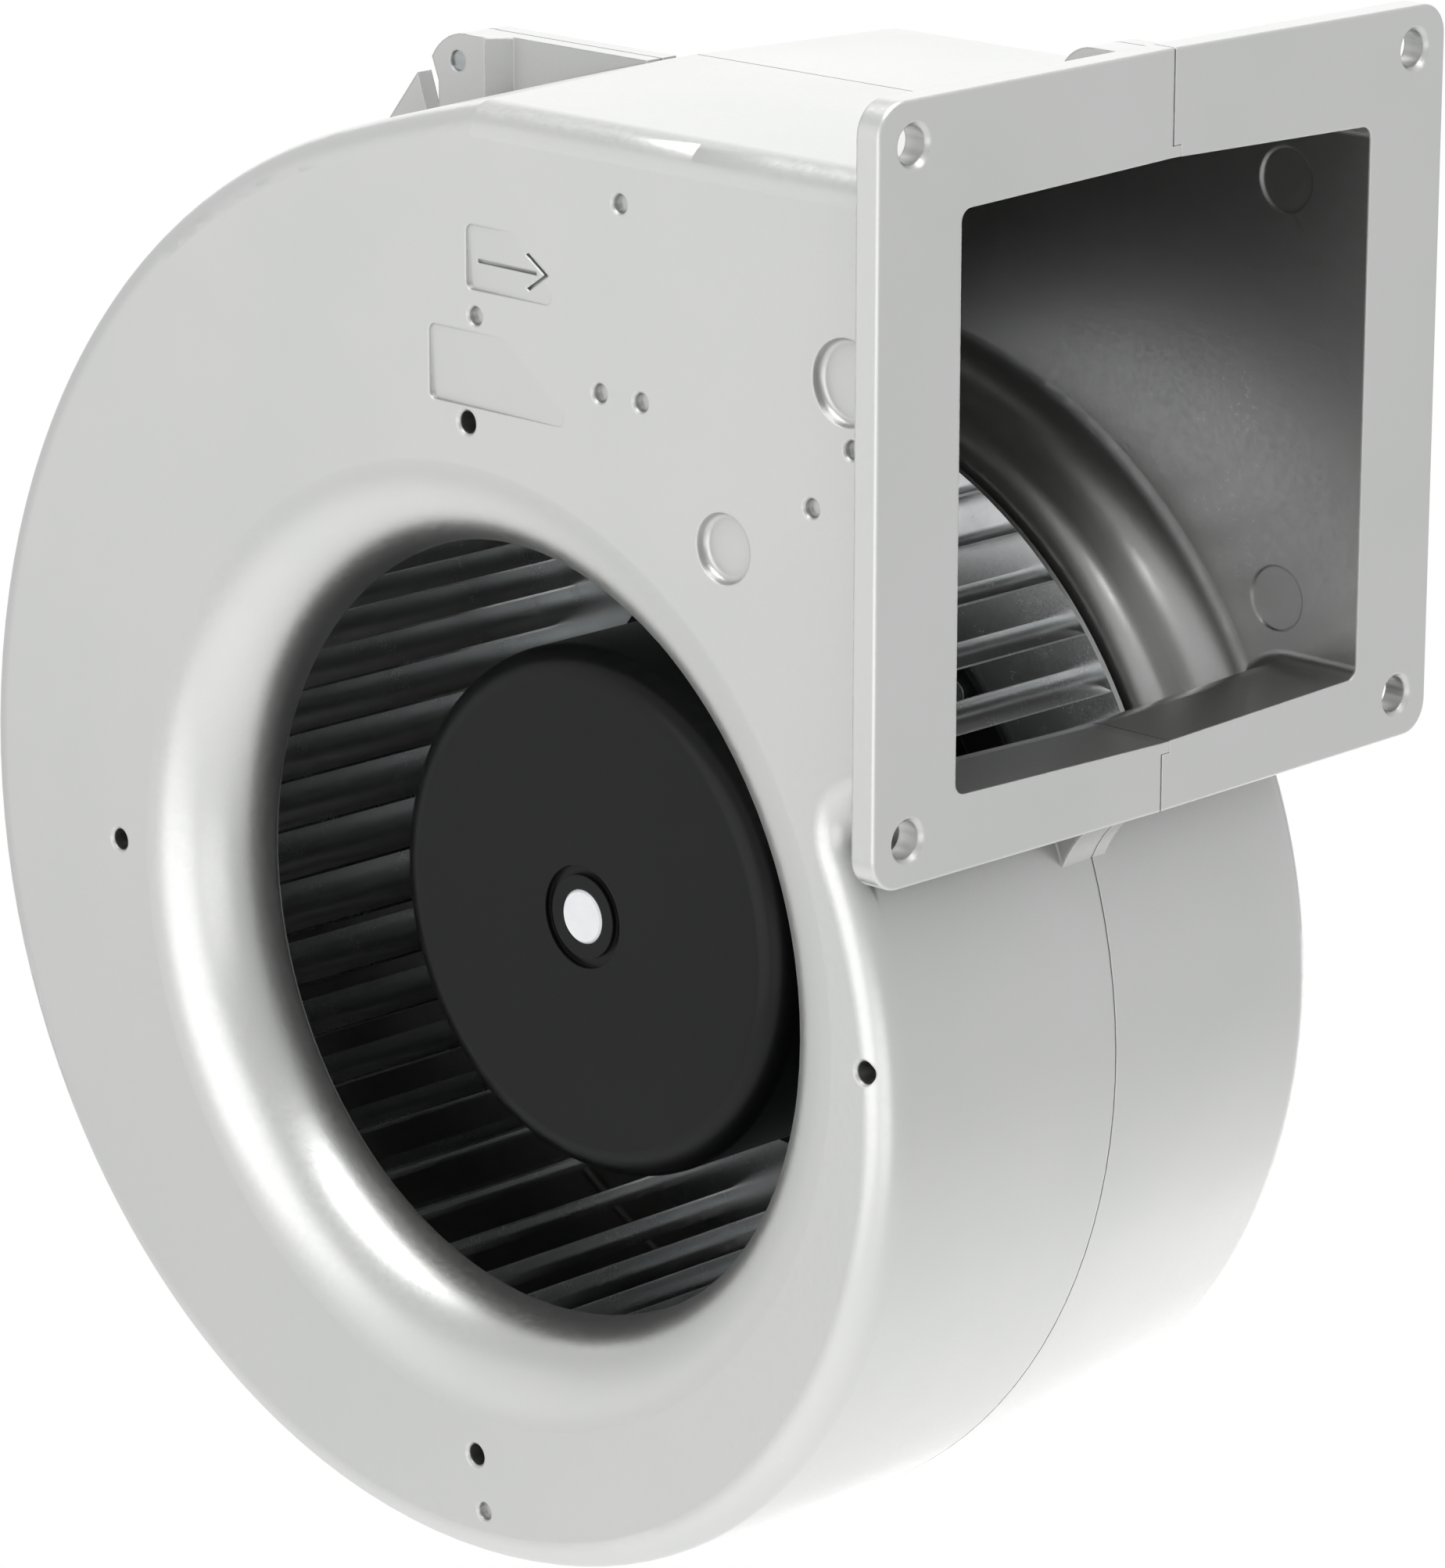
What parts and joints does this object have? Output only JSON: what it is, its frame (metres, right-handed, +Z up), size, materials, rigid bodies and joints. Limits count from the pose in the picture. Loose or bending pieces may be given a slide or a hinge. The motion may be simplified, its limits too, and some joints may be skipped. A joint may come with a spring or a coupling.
{
  "type": "centrifugal fan",
  "caption": "Centrifugal fan with a flanged scroll housing, bell-mouth inlet, forward-curved blade wheel and external-rotor motor.",
  "frame": {"origin": "on the rotation axis, in the plane of the inlet face", "axes": "+X out of the outlet flange, +Y along the rotation axis from the inlet to the motor, +Z up towards the duct"},
  "size_m": [0.2602, 0.1486, 0.308],
  "materials": {
    "housing_grey": "die cast, light grey satin coat",
    "galvanised": "galvanised sheet",
    "rotor_black": "semi-gloss black",
    "steel": "ground",
    "zinc_screw": "zinc plated",
    "cast_aluminium": "as cast",
    "laminations": "stacked sheet",
    "copper": "enamelled wire",
    "insulator": "matt",
    "rubber": "matt"
  },
  "bodies": {
    "housing": {"inlet_housing": "housing_grey", "motor_housing": "housing_grey", "housing_screws": "zinc_screw", "motor_flange": "cast_aluminium", "motor_screws": "zinc_screw", "motor_washers": "zinc_screw", "cable_grommet": "rubber", "stator_core": "laminations", "stator_windings": "copper", "stator_collars": "insulator", "front_bearing_outer": "steel", "rear_bearing_outer": "steel", "preload_washer": "steel"},
    "rotor": {"rotor_cup": "rotor_black", "rotor_core": "laminations", "rotor_end_rings": "cast_aluminium", "shaft": "steel", "shaft_clip": "steel", "front_bearing_inner": "steel", "rear_bearing_inner": "steel", "impeller_back_disc": "galvanised", "impeller_blades": "galvanised", "impeller_front_ring": "galvanised", "impeller_rivets": "zinc_screw"}
  },
  "joints": [
    {"name": "impeller_spin", "type": "hinge", "parent": "housing", "child": "rotor", "pos_m": [0, 0, 0], "axis": [0, 1, 0], "continuous": true}
  ]
}
